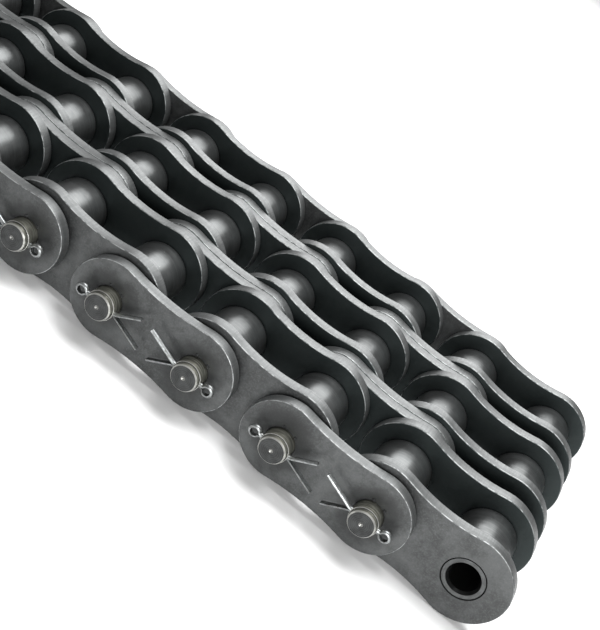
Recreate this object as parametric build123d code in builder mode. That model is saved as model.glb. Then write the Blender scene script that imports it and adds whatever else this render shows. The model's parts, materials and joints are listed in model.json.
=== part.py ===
from build123d import *
from math import acos, cos, degrees, sin
import os

# Triplex roller chain, ISO 24A-3 (ANSI 120-3), with cottered pins, cut to nine pitches.
# Roller links and pin links take turns, and both ends are roller links with open bores.
# +Z is up, the pins lie along Y, and the chain runs from the origin towards -X.
# The origin is the middle of the open bore at the near end, in the middle strand.
# The cotters are on the -Y side, called the front here.

# Driving dimensions, in millimetres
PITCH = 38.1  # pin to pin along the chain
STRAND_PITCH = 45.44  # strand to strand across the chain
STRANDS = ("front", "middle", "back")
PITCHES = 9
INNER_WIDTH = 25.22  # between the two plates of a roller link
PLATE = 4.8  # thickness of every plate
LINK_GAP = 0.33  # between a roller link and the pin link plates beside it
FRONT_GAP = 1.2  # the same under the cottered front plate, which has play on its pins
ROLLER_DIAMETER = 22.23
PIN_DIAMETER = 11.1
BORE_DIAMETER = 11.2  # of a bush, which turns on its pin
BUSH_DIAMETER = 16.2
ROLLER_BORE = 16.4
PRESS_ROOM = 0.01  # radial room that stands for a press fit

# Plate outlines: round ends joined by shallow hollow flanks
INNER_END_RADIUS = 17.4
INNER_WAIST = 15.1  # half the height in the middle
OUTER_END_RADIUS = 15.35
OUTER_WAIST = 13.6
PLATE_EDGE = 0.4  # rounding along the punched outline

# Bushes and rollers
BUSH_SINK = 0.15  # how far a bush end lies below the plate's face
BUSH_MOUTH = 0.75  # how far the mouth of its bore opens out
BUSH_MOUTH_DEPTH = 1.3
BUSH_RIM = 0.3  # how far its outer edge is turned down
BUSH_RIM_DEPTH = 0.6
HOLE_EDGE = 0.2  # chamfer at the holes of every plate
ROLLER_PLAY = 0.11  # at each end of a roller
ROLLER_EDGE = 0.9
ROLLER_MOUTH = 0.4

# Pins and their cotters
PIN_PROUD = 6.9  # how far a pin stands out of the front plate
PIN_TIP_DIAMETER = 10.2  # of the turned-down tip
PIN_TIP = 1.9  # length of the tip
PIN_CHAMFER = 0.45
PIN_SHOULDER = 0.2
DIMPLE_RADIUS = 0.8
DIMPLE_DEPTH = 0.4
HEAD_DIAMETER = 13.0  # of the upset head behind the back plate
HEAD_HEIGHT = 1.6
HEAD_EDGE = 0.7
COTTER_STAND = 3.6  # from the front plate to the cotter hole
COTTER_HOLE = 2.2
COTTER_WIRE = 1.0  # radius of the half-round wire
COTTER_PART = 0.03  # from the cotter's middle to the flat side of each leg
EYE_CENTRE = 8.6  # from the pin's axis
EYE_RADIUS = 1.55  # inside the eye
NECK_RADIUS = 1.25
LEG_BEND_AT = 6.2  # where the legs part, from the pin's axis
LEG_BEND_RADIUS = 3.5
SHORT_LEG = (15.0, 5.5)
LONG_LEG = (18.6, -4.9)

# Stake marks beside each pin, raised on the front plate
STAKE_RADIUS = 0.7
STAKE_REACH = 6.4  # from the pin's axis
STAKE_HEIGHT = 0.5
STAKE_ANGLES = (57, 105)

# Worked-out places
LINK_HALF = INNER_WIDTH / 2 + PLATE  # middle of a strand to a roller link's outer face
PIN_LINK_FACE = LINK_HALF + LINK_GAP  # middle of a strand to a pin link plate's inner face
STRAND_Y = [STRAND_PITCH * (number - 1) for number in range(len(STRANDS))]
FRONT_FACE = STRAND_Y[0] - LINK_HALF - FRONT_GAP - PLATE  # outer face of the front plate
BACK_FACE = STRAND_Y[-1] + PIN_LINK_FACE + PLATE
PIN_END = FRONT_FACE - PIN_PROUD
COTTER_Y = FRONT_FACE - COTTER_STAND


def across(x, y, turned=False):
    """A plane square to the pins, seen from the front, turned half round if asked."""
    way = -1 if turned else 1
    return Plane(origin=(x, y, 0), x_dir=(way, 0, 0), z_dir=(0, -1, 0))


def axis_x(number):
    """The place along the chain of one pin axis, counted from 0 at the near end."""
    return -PITCH * number


def finish(piece, name):
    """Label a finished piece and write its file."""
    piece.part.label = name
    export_step(piece.part, f"parts/{name}.step")


def link_plates(middle_x, back_faces, end_radius, waist, hole_radius):
    """A set of equal link plates, one for each back face."""
    half = PITCH / 2
    flank = (half**2 + waist**2 - end_radius**2) / (2 * (end_radius - waist))
    join_x = half * flank / (end_radius + flank)
    join_z = (waist + flank) * end_radius / (end_radius + flank)
    with BuildPart() as plates:
        for back_y in back_faces:
            with BuildSketch(across(middle_x, back_y)):
                with BuildLine():
                    ThreePointArc((-join_x, join_z), (0, waist), (join_x, join_z))
                    ThreePointArc((join_x, join_z), (half + end_radius, 0), (join_x, -join_z))
                    ThreePointArc((join_x, -join_z), (0, -waist), (-join_x, -join_z))
                    ThreePointArc((-join_x, -join_z), (-half - end_radius, 0), (-join_x, join_z))
                make_face()
                with Locations((-half, 0), (half, 0)):
                    Circle(hole_radius, mode=Mode.SUBTRACT)
            extrude(amount=PLATE)
        rounds = plates.edges().filter_by(GeomType.CIRCLE)
        chamfer(rounds.filter_by(lambda edge: edge.radius < hole_radius + 1), length=HOLE_EDGE)
        rounds = plates.edges().filter_by(GeomType.CIRCLE)
        fillet(rounds.filter_by(lambda edge: edge.radius > hole_radius + 1), radius=PLATE_EDGE)
    return plates


def inner_plates(number):
    """The six plates of one roller link, two in each strand."""
    backs = [y + side for y in STRAND_Y for side in (LINK_HALF, PLATE - LINK_HALF)]
    hole = BUSH_DIAMETER / 2 + PRESS_ROOM
    return link_plates(axis_x(2 * number - 1.5), backs, INNER_END_RADIUS, INNER_WAIST, hole)


def outer_plates(number, backs):
    """Plates of one pin link, one for each back face."""
    hole = PIN_DIAMETER / 2 + PRESS_ROOM
    return link_plates(axis_x(2 * number - 0.5), backs, OUTER_END_RADIUS, OUTER_WAIST, hole)


def front_plate(number):
    """The plate under the cotters, with two raised stake marks beside each pin."""
    plain = outer_plates(number, [FRONT_FACE + PLATE])
    with BuildPart() as plate:
        add(plain.part)
        for pin in (2 * number - 1, 2 * number):
            with BuildSketch(across(axis_x(pin), FRONT_FACE)):
                for angle in STAKE_ANGLES:
                    with PolarLocations(STAKE_REACH, 1, start_angle=angle):
                        Circle(STAKE_RADIUS)
            extrude(amount=STAKE_HEIGHT, taper=35)
    return plate


def middle_plates(number):
    """The four plates between the strands, in two pairs that nearly touch."""
    backs = [STRAND_Y[0] + PIN_LINK_FACE + PLATE]
    backs += [STRAND_Y[1] - PIN_LINK_FACE, STRAND_Y[1] + PIN_LINK_FACE + PLATE]
    backs += [STRAND_Y[2] - PIN_LINK_FACE]
    return outer_plates(number, backs)


def bushes(number):
    """The six bushes of one roller link, opened out at the mouths and turned down at the rims."""
    half = LINK_HALF - BUSH_SINK
    bore = BORE_DIAMETER / 2
    outside = BUSH_DIAMETER / 2
    quarter = [
        (bore, half - BUSH_MOUTH_DEPTH),
        (bore + BUSH_MOUTH, half),
        (outside - BUSH_RIM, half),
        (outside, half - BUSH_RIM_DEPTH),
    ]
    other = [(out, -along) for out, along in reversed(quarter)]
    with BuildPart() as tubes:
        for axis in (2 * number - 2, 2 * number - 1):
            for y in STRAND_Y:
                x = axis_x(axis)
                with BuildSketch(Plane((x, y, 0), x_dir=(1, 0, 0), z_dir=(0, 0, 1))):
                    with BuildLine():
                        Polyline(*quarter, *other, close=True)
                    make_face()
                revolve(axis=Axis((x, y, 0), (0, 1, 0)))
    return tubes


def roller(axis, y):
    """One roller, rounded outside and chamfered at its bore."""
    length = INNER_WIDTH - 2 * ROLLER_PLAY
    with BuildPart() as ring:
        with BuildSketch(across(axis_x(axis), y + length / 2)):
            Circle(ROLLER_DIAMETER / 2)
            Circle(ROLLER_BORE / 2, mode=Mode.SUBTRACT)
        extrude(amount=length)
        rims = ring.edges().filter_by(GeomType.CIRCLE)
        fillet(rims.filter_by(lambda edge: edge.radius > ROLLER_BORE / 2 + 1), radius=ROLLER_EDGE)
        rims = ring.edges().filter_by(GeomType.CIRCLE)
        chamfer(rims.filter_by(lambda edge: edge.radius < ROLLER_BORE / 2 + 0.1), length=ROLLER_MOUTH)
    return ring


def pin_outline():
    """Half of a pin's outline, as distances out from its axis and along it."""
    shank = PIN_DIAMETER / 2
    tip = PIN_TIP_DIAMETER / 2
    head = HEAD_DIAMETER / 2
    shoulder = PIN_END + PIN_TIP
    return [
        (0, BACK_FACE + HEAD_HEIGHT),
        (0, PIN_END + DIMPLE_DEPTH),
        (DIMPLE_RADIUS, PIN_END),
        (tip - PIN_CHAMFER, PIN_END),
        (tip, PIN_END + PIN_CHAMFER),
        (tip, shoulder),
        (shank - PIN_SHOULDER, shoulder),
        (shank, shoulder + PIN_SHOULDER),
        (shank, BACK_FACE),
        (head, BACK_FACE),
        (head, BACK_FACE + HEAD_HEIGHT - HEAD_EDGE),
        (head - HEAD_EDGE, BACK_FACE + HEAD_HEIGHT),
    ]


def pins(number):
    """The two pins of one pin link, headed at the back and cross-drilled at the front."""
    with BuildPart() as pair:
        for axis in (2 * number - 1, 2 * number):
            x = axis_x(axis)
            with BuildSketch(Plane((x, 0, 0), x_dir=(1, 0, 0), z_dir=(0, 0, 1))):
                with BuildLine():
                    Polyline(*pin_outline(), close=True)
                make_face()
            revolve(axis=Axis((x, 0, 0), (0, 1, 0)))
            with BuildSketch(Plane((x, COTTER_Y, 0), x_dir=(0, 1, 0), z_dir=(1, 0, 0))):
                Circle(COTTER_HOLE / 2)
            extrude(amount=PIN_DIAMETER, both=True, mode=Mode.SUBTRACT)
    return pair


def cotters(number):
    """The two split cotters of one pin link, eyes outwards and legs spread over the plate."""
    swing = acos((NECK_RADIUS + COTTER_PART) / (NECK_RADIUS + EYE_RADIUS))
    neck_x = (NECK_RADIUS + EYE_RADIUS) * sin(swing) - EYE_CENTRE
    outward = (-cos(swing), sin(swing))
    homeward = (cos(swing), sin(swing))
    turn = degrees(swing)
    with BuildPart() as pair:
        for axis in (2 * number - 1, 2 * number):
            side = across(axis_x(axis), COTTER_Y, turned=axis % 2 == 1)
            with BuildLine(side) as route:
                upper = FilletPolyline(
                    SHORT_LEG,
                    (LEG_BEND_AT, COTTER_PART),
                    (neck_x, COTTER_PART),
                    radius=LEG_BEND_RADIUS,
                )
                neck = JernArc(upper @ 1, (-1, 0), NECK_RADIUS, -turn)
                eye = JernArc(neck @ 1, outward, EYE_RADIUS, 180 + 2 * turn)
                throat = JernArc(eye @ 1, homeward, NECK_RADIUS, -turn)
                FilletPolyline(
                    throat @ 1,
                    side.from_local_coords((LEG_BEND_AT, -COTTER_PART)),
                    side.from_local_coords(LONG_LEG),
                    radius=LEG_BEND_RADIUS,
                )
            start = Plane(origin=route.line @ 0, x_dir=(0, -1, 0), z_dir=route.line % 0)
            with BuildSketch(start):
                Circle(COTTER_WIRE)
                Rectangle(
                    2 * COTTER_WIRE,
                    COTTER_WIRE,
                    align=(Align.CENTER, Align.MAX),
                    mode=Mode.SUBTRACT,
                )
            sweep(path=route.line)
    return pair


def build_chain():
    """Make and write every piece, link by link from the near end."""
    os.makedirs("parts", exist_ok=True)
    for number in range(1, PITCHES // 2 + 2):
        finish(inner_plates(number), f"inner_plates_{number}")
        finish(bushes(number), f"bushes_{number}")
    for number in range(1, PITCHES // 2 + 1):
        finish(front_plate(number), f"front_plate_{number}")
        finish(middle_plates(number), f"middle_plates_{number}")
        finish(outer_plates(number, [BACK_FACE]), f"back_plate_{number}")
        finish(pins(number), f"pins_{number}")
        finish(cotters(number), f"cotters_{number}")
    for axis in range(PITCHES + 1):
        for strand, y in zip(STRANDS, STRAND_Y):
            finish(roller(axis, y), f"roller_{axis + 1:02d}_{strand}")


build_chain()
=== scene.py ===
import bpy
import json
from math import cos, radians, sin
from mathutils import Matrix, Vector


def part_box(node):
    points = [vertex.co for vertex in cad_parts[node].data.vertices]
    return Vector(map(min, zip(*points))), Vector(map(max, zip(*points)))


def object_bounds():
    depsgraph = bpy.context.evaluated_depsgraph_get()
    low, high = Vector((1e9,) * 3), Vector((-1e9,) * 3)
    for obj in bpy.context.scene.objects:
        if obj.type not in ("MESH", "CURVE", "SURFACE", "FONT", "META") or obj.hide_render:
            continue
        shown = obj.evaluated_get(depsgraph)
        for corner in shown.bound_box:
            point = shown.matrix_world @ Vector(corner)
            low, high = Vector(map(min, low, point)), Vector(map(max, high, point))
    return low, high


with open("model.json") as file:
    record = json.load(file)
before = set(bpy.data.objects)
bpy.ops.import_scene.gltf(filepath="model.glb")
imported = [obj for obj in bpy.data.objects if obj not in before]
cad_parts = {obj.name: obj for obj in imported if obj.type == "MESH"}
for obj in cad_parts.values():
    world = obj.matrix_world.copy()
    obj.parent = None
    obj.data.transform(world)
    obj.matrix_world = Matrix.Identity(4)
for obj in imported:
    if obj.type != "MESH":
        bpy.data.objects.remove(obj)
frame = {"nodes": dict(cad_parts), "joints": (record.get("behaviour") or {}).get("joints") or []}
cad_low, cad_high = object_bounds()
nodes = frame["nodes"]

# Sizes read from the frame, in metres
JOINT_AT = {joint["name"]: joint["pos_m"] for joint in frame["joints"]}
PITCH = JOINT_AT["bend_1"][0] - JOINT_AT["bend_2"][0]
STRAND_PITCH = JOINT_AT["spin_01_back"][1] - JOINT_AT["spin_01_middle"][1]
PLATES_LOW, PLATES_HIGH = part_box("inner_plates_3")
OUTER_FACE = PLATES_HIGH.y  # of the outermost roller link plates
FLOOR_Z = PLATES_LOW.z
CENTRE = (cad_low + cad_high) / 2

# Other sizes of the pieces
MM = 0.001
PLATE = 4.8 * MM  # thickness of every plate
INNER_FACE = OUTER_FACE - STRAND_PITCH - PLATE  # of a roller link plate, from mid-strand
BUSH_HOLE = 8.11 * MM  # radius of the plate holes round the bushes
PIN_HOLE = 5.56 * MM  # radius of the plate holes round the pins
BUSH_MOUTH = 6.25 * MM  # radius where the ring on a bush's end begins
BUSH_RIM = 7.70 * MM  # radius where that ring ends
HAIR = 0.15 * MM  # width over which the ring gives way to black

# The camera looks down at the cottered side, turned a long way round its own axis
CAMERA_TARGET = Vector((-0.09743, 0.02039, 0.0))
CAMERA_DISTANCE = 0.4764
CAMERA_AZIMUTH = 6.44
CAMERA_ELEVATION = 29.29
CAMERA_ROLL = 35.60
CAMERA_LENS = 67.62
CAMERA_SENSOR = 36.0
CAMERA_SHIFT = -0.0476

# Square lights: name, place from the middle of the chain, width in metres and watts
SOFTBOXES = (
    ("key", (0.10, 0.11, 0.76), 0.46, 11.0),
    ("back", (-0.06, 0.80, 0.46), 0.60, 6.2),
    ("front", (0.24, -0.50, 0.12), 0.22, 2.8),
)
SURROUND_STRENGTH = 0.36
FLOOR_WIDTH = 12.0
FLOOR_GAP = 0.0002  # under the plates, so that the floor and the plates never meet


class Shader:
    """A material's node tree, with short ways to add and join nodes."""

    # Where a mix node has its factor, its two colours and its result
    MIX_FACTOR, MIX_FIRST, MIX_SECOND, MIX_RESULT = 0, 6, 7, 2

    def __init__(self, name):
        self.material = bpy.data.materials.new(name)
        self.material.use_nodes = True
        self.tree = self.material.node_tree
        self.tree.nodes.clear()
        self.surface = self.add("ShaderNodeBsdfPrincipled")
        output = self.add("ShaderNodeOutputMaterial")
        self.join(self.surface.outputs[0], output.inputs["Surface"])

    def add(self, kind, **settings):
        node = self.tree.nodes.new(kind)
        for key, value in settings.items():
            setattr(node, key, value)
        return node

    def join(self, source, target):
        self.tree.links.new(source, target)

    def feed(self, socket, value):
        """Join a socket to another one, or set it to a plain value."""
        if isinstance(value, bpy.types.NodeSocket):
            self.join(value, socket)
        else:
            socket.default_value = value

    def math(self, operation, a, b=0.0):
        node = self.add("ShaderNodeMath", operation=operation)
        self.feed(node.inputs[0], a)
        self.feed(node.inputs[1], b)
        return node.outputs[0]

    def plus(self, a, b):
        return self.math("ADD", a, b)

    def times(self, a, b):
        return self.math("MULTIPLY", a, b)

    def ramp(self, value, low, high, start=0.0, end=1.0):
        """A smooth step from start to end while the value goes from low to high."""
        node = self.add("ShaderNodeMapRange", interpolation_type="SMOOTHSTEP")
        for socket, number in zip(node.inputs, (value, low, high, start, end)):
            self.feed(socket, number)
        return node.outputs[0]

    def mix(self, factor, first, second):
        """The first colour where the factor is 0, the second where it is 1."""
        node = self.add("ShaderNodeMix", data_type="RGBA")
        self.feed(node.inputs[self.MIX_FACTOR], factor)
        self.feed(node.inputs[self.MIX_FIRST], first)
        self.feed(node.inputs[self.MIX_SECOND], second)
        return node.outputs[self.MIX_RESULT]

    def place(self):
        """The place in the piece's own frame, as a vector."""
        return self.add("ShaderNodeTexCoord").outputs["Object"]

    def split(self, vector):
        """The x, y and z of a vector."""
        parts = self.add("ShaderNodeSeparateXYZ")
        self.join(vector, parts.inputs[0])
        return parts.outputs[0], parts.outputs[1], parts.outputs[2]

    def facing(self):
        """How squarely the surface faces along the pins, from 0 to 1."""
        normal = self.add("ShaderNodeTexCoord").outputs["Normal"]
        return self.math("ABSOLUTE", self.split(normal)[1])

    def stretched(self, spot, scale):
        """The place, scaled by a different amount along each axis."""
        node = self.add("ShaderNodeMapping")
        self.join(spot, node.inputs["Vector"])
        node.inputs["Scale"].default_value = scale
        return node.outputs[0]

    def noise(self, spot, scale, detail=3.0, rough=0.6):
        """Soft noise round 0.5, with this many waves to the metre."""
        node = self.add("ShaderNodeTexNoise")
        self.join(spot, node.inputs["Vector"])
        node.inputs["Scale"].default_value = scale
        node.inputs["Detail"].default_value = detail
        node.inputs["Roughness"].default_value = rough
        return node.outputs[0]

    def from_nearest(self, value, step):
        """The distance from the nearest whole multiple of a step, with its sign."""
        count = self.math("ROUND", self.math("DIVIDE", value, step))
        return self.math("SUBTRACT", value, self.times(count, step))

    def radius(self, x, z):
        """The distance from the nearest pin axis."""
        around = self.from_nearest(x, PITCH)
        squares = self.plus(self.math("POWER", around, 2.0), self.math("POWER", z, 2.0))
        return self.math("SQRT", squares)

    def bump(self, height, depth, strength):
        """Fine relief, as deep as depth where the height goes from 0 to 1."""
        node = self.add("ShaderNodeBump")
        node.inputs["Strength"].default_value = strength
        node.inputs["Distance"].default_value = depth
        self.join(height, node.inputs["Height"])
        self.join(node.outputs[0], self.surface.inputs["Normal"])

    def finish(self, color, roughness, metallic):
        self.feed(self.surface.inputs["Base Color"], color)
        self.feed(self.surface.inputs["Roughness"], roughness)
        self.feed(self.surface.inputs["Metallic"], metallic)
        return self.material


def tinted(level, warm=-0.02):
    """A grey of this level: yellowish if warm is over 0, towards blue-green if under."""
    return (level * (1 + warm), level * (1 + abs(warm)), level * (1 - warm), 1.0)


def plate_steel(name, hole, stain_and_shadow):
    """Phosphated plate: mottled dark faces, lighter punched rims and bright worn edges.

    The stain, from 0 to 1, is how dark the face is made round each hole: old oil stain, and painted
    shadow of the pin and cotter.
    """
    s = Shader(name)
    spot = s.place()
    x, y, z = s.split(spot)
    out = s.radius(x, z)
    square = s.facing()
    rim = s.ramp(square, 0.30, 0.55, 1.0, 0.0)
    edge = s.times(s.ramp(square, 0.22, 0.50), s.ramp(square, 0.86, 0.985, 1.0, 0.0))

    # faces: broad cloudy patches and fine rubbed grains
    cloud = s.noise(spot, 48.0, detail=5.0, rough=0.62)
    blotch = s.noise(spot, 260.0, detail=4.0, rough=0.65)
    grain = s.noise(spot, 1500.0, rough=0.7)
    tone = s.plus(s.times(cloud, 0.6), s.times(blotch, 0.4))
    face = s.mix(s.ramp(tone, 0.38, 0.62), tinted(0.046), tinted(0.080))
    face = s.mix(s.ramp(grain, 0.42, 0.74, 0.0, 0.45), face, tinted(0.125))

    # painted shade: dark on every face inside the chain, where the plates shade each other
    inside = s.math("ABSOLUTE", y)
    inside = s.ramp(inside, OUTER_FACE - 0.15 * MM, OUTER_FACE - 0.05 * MM, 0.84, 0.0)
    face = s.mix(inside, face, tinted(0.024, -0.16))
    # oil stain and painted shadow: dark in uneven patches round the holes, reaching under the
    # cotter eyes
    oil_and_shadow = s.plus(out, s.times(s.math("SUBTRACT", cloud, 0.5), 12.0 * MM))
    oil_and_shadow = s.ramp(oil_and_shadow, hole + 2.5 * MM, hole + 9.0 * MM, stain_and_shadow, 0.0)
    face = s.mix(oil_and_shadow, face, tinted(0.026))

    # rims: fine streaks from the punch, and a duller band where the metal tore
    across = s.noise(s.stretched(spot, (1.0, 0.06, 1.0)), 1700.0)
    along = s.noise(s.stretched(spot, (0.04, 1.0, 0.04)), 1900.0)
    streaks = s.plus(s.times(across, 0.55), s.times(along, 0.45))
    depth = s.math("ABSOLUTE", s.from_nearest(y, STRAND_PITCH))
    depth = s.math("DIVIDE", s.math("SUBTRACT", depth, INNER_FACE), PLATE)
    torn = s.plus(s.math("FRACT", depth), s.times(s.noise(spot, 300.0), 0.5))
    torn = s.ramp(torn, 0.60, 0.95)
    punched = s.mix(s.ramp(streaks, 0.36, 0.64), tinted(0.092), tinted(0.136))
    punched = s.mix(s.times(torn, 0.5), punched, tinted(0.075))
    color = s.mix(rim, face, punched)

    # worn edges, except that the stakes round a pin stay as dull as the face
    worn = s.times(edge, s.ramp(s.noise(spot, 380.0), 0.38, 0.60, 0.15, 0.95))
    worn = s.times(worn, s.ramp(out, hole + 1.7 * MM, hole + 2.2 * MM))
    color = s.mix(worn, color, tinted(0.34))

    # a dark line where the bush or pin meets its hole
    gap = s.times(s.ramp(out, hole + 0.10 * MM, hole + 0.22 * MM, 1.0, 0.0), 0.9)
    color = s.mix(gap, color, tinted(0.006))

    roughness = s.plus(s.ramp(grain, 0.3, 0.7, 0.38, 0.54), s.times(rim, -0.03))
    relief = s.plus(s.times(grain, 0.5), s.times(blotch, 0.9))
    relief = s.plus(relief, s.times(s.times(streaks, rim), 0.8))
    s.bump(relief, 0.05 * MM, 0.5)
    return s.finish(color, roughness, metallic=0.75)


def roller_steel():
    """Smooth dark satin rollers, with faint turning lines and small scuffs."""
    s = Shader("roller_steel")
    spot = s.place()
    lines = s.noise(s.stretched(spot, (0.05, 1.0, 0.05)), 1300.0)
    cloud = s.noise(spot, 120.0, detail=4.0)
    grain = s.noise(spot, 2200.0, detail=2.0)
    scuff = s.noise(s.stretched(spot, (1.0, 0.35, 1.0)), 620.0, detail=4.0, rough=0.7)
    color = s.mix(s.ramp(cloud, 0.35, 0.65), tinted(0.092), tinted(0.132))
    color = s.mix(s.ramp(lines, 0.45, 0.75, 0.0, 0.35), color, tinted(0.21))
    color = s.mix(s.ramp(scuff, 0.68, 0.75, 0.0, 0.8), color, tinted(0.45))
    # the ends of the roller are darker
    color = s.mix(s.ramp(s.facing(), 0.6, 0.9), color, tinted(0.07))
    roughness = s.plus(s.ramp(grain, 0.3, 0.7, 0.26, 0.36), s.times(lines, 0.06))
    relief = s.plus(s.times(lines, 0.6), s.times(grain, 0.25))
    s.bump(relief, 0.025 * MM, 0.35)
    return s.finish(color, roughness, metallic=0.90)


def bush_steel():
    """Dark bushes with fine rings on their ends, black at the rim and inside the mouth."""
    s = Shader("bush_steel")
    spot = s.place()
    x, _, z = s.split(spot)
    out = s.radius(x, z)
    rings = s.math("SINE", s.times(out, 15000.0))
    cloud = s.noise(spot, 420.0, detail=4.0)
    color = s.mix(s.ramp(cloud, 0.35, 0.65), tinted(0.055), tinted(0.088))
    color = s.mix(s.ramp(out, BUSH_MOUTH, BUSH_MOUTH + HAIR, 1.0, 0.0), color, tinted(0.012))
    color = s.mix(s.ramp(out, BUSH_RIM, BUSH_RIM + HAIR), color, tinted(0.004))
    s.bump(s.times(rings, 0.5), 0.02 * MM, 0.3)
    return s.finish(color, s.ramp(cloud, 0.3, 0.7, 0.36, 0.48), metallic=0.75)


def pin_steel():
    """Pins with turning rings on the end face and lines round the shank."""
    s = Shader("pin_steel")
    spot = s.place()
    x, _, z = s.split(spot)
    square = s.facing()
    cloud = s.noise(spot, 330.0, detail=4.0, rough=0.65)
    lines = s.noise(s.stretched(spot, (0.08, 1.0, 0.08)), 1800.0)
    wander = s.noise(spot, 180.0)
    rings = s.plus(s.times(s.radius(x, z), 9500.0), s.times(wander, 3.0))
    rings = s.math("SINE", rings)
    shank = s.mix(s.ramp(lines, 0.35, 0.7), tinted(0.11, 0.08), tinted(0.30, 0.08))
    end = s.mix(s.ramp(cloud, 0.34, 0.66), tinted(0.024), tinted(0.046))
    end = s.mix(s.ramp(rings, -0.2, 1.0, 0.0, 0.16), end, tinted(0.12))
    color = s.mix(s.ramp(square, 0.75, 0.95), shank, end)
    # the chamfer between the two is rubbed bright
    edge = s.times(s.ramp(square, 0.35, 0.6), s.ramp(square, 0.8, 0.97, 1.0, 0.0))
    color = s.mix(s.times(edge, 0.7), color, tinted(0.40, 0.02))
    relief = s.plus(s.times(rings, 0.3), s.times(lines, 0.6))
    s.bump(relief, 0.04 * MM, 0.4)
    return s.finish(color, s.ramp(cloud, 0.3, 0.7, 0.30, 0.44), metallic=0.85)


def cotter_wire():
    """Drawn wire with darker lengthwise streaks and dull spots."""
    s = Shader("cotter_wire")
    spot = s.place()
    streaks = s.noise(s.stretched(spot, (0.25, 1.0, 0.25)), 2600.0)
    dull = s.noise(spot, 500.0, detail=4.0, rough=0.7)
    color = s.mix(s.ramp(streaks, 0.35, 0.65), tinted(0.16), tinted(0.29))
    color = s.mix(s.ramp(dull, 0.50, 0.66, 0.0, 0.7), color, tinted(0.09, 0.04))
    s.bump(streaks, 0.02 * MM, 0.35)
    return s.finish(color, s.ramp(dull, 0.35, 0.7, 0.34, 0.48), metallic=1.0)


def dress():
    """Give every CAD node its finish, by the kind of piece its name says."""
    finishes = {
        "inner_plates": plate_steel("roller_link_plate", BUSH_HOLE, stain_and_shadow=0.15),
        "bushes": bush_steel(),
        "pins": pin_steel(),
        "cotters": cotter_wire(),
        "roller": roller_steel(),
    }
    # the pin link plates get much more of the oil stain and painted shadow round their holes
    pin_link_plate = plate_steel("pin_link_plate", PIN_HOLE, stain_and_shadow=0.75)
    for kind in ("front_plate", "middle_plates", "back_plate"):
        finishes[kind] = pin_link_plate
    for name, node in nodes.items():
        kind = next(start for start in finishes if name.startswith(start))
        for slot in node.material_slots:
            slot.material = finishes[kind]


def floor():
    """A plain pale floor under the chain."""
    middle = (CENTRE.x, CENTRE.y, FLOOR_Z - FLOOR_GAP)
    bpy.ops.mesh.primitive_plane_add(size=FLOOR_WIDTH, location=middle)
    plane = bpy.context.object
    plane.name = "floor"
    s = Shader("floor_white")
    tint = s.noise(s.place(), 3.0, detail=2.0, rough=0.5)
    color = s.mix(tint, tinted(0.80, 0.0), tinted(0.82, 0.0))
    plane.data.materials.append(s.finish(color, 0.9, metallic=0.0))


def softbox(name, offset, width, watts):
    """A square area light, offset from the middle of the chain and turned towards it."""
    data = bpy.data.lights.new(name, "AREA")
    data.size = width
    data.energy = watts
    light = bpy.data.objects.new(name, data)
    light.location = CENTRE + Vector(offset)
    light.rotation_euler = Vector(offset).to_track_quat("Z", "Y").to_euler()
    light.visible_camera = False
    bpy.context.scene.collection.objects.link(light)


def lights():
    """A broad key overhead, a low light behind, a lower one in front, and a white surround."""
    for name, offset, width, watts in SOFTBOXES:
        softbox(name, offset, width, watts)
    world = bpy.data.worlds.new("surround")
    world.use_nodes = True
    background = world.node_tree.nodes["Background"]
    background.inputs["Color"].default_value = (1.0, 1.0, 1.0, 1.0)
    background.inputs["Strength"].default_value = SURROUND_STRENGTH
    bpy.context.scene.world = world


def camera():
    """The camera, rolled so that the chain runs from corner to corner."""
    azimuth = radians(CAMERA_AZIMUTH)
    elevation = radians(CAMERA_ELEVATION)
    roll = radians(CAMERA_ROLL)
    ahead = Vector((-sin(azimuth) * cos(elevation), cos(azimuth) * cos(elevation), -sin(elevation)))
    level = ahead.cross(Vector((0, 0, 1))).normalized()
    upright = level.cross(ahead)
    right = level * cos(roll) + upright * sin(roll)
    up = upright * cos(roll) - level * sin(roll)
    turn = Matrix((right, up, -ahead)).transposed()
    data = bpy.data.cameras.new("camera")
    data.sensor_width = CAMERA_SENSOR
    data.lens = CAMERA_LENS
    data.shift_x = CAMERA_SHIFT
    view = bpy.data.objects.new("camera", data)
    view.matrix_world = Matrix.Translation(CAMERA_TARGET - ahead * CAMERA_DISTANCE) @ turn.to_4x4()
    bpy.context.scene.collection.objects.link(view)
    bpy.context.scene.camera = view


dress()
floor()
lights()
camera()
bpy.context.scene.view_settings.view_transform = "Standard"
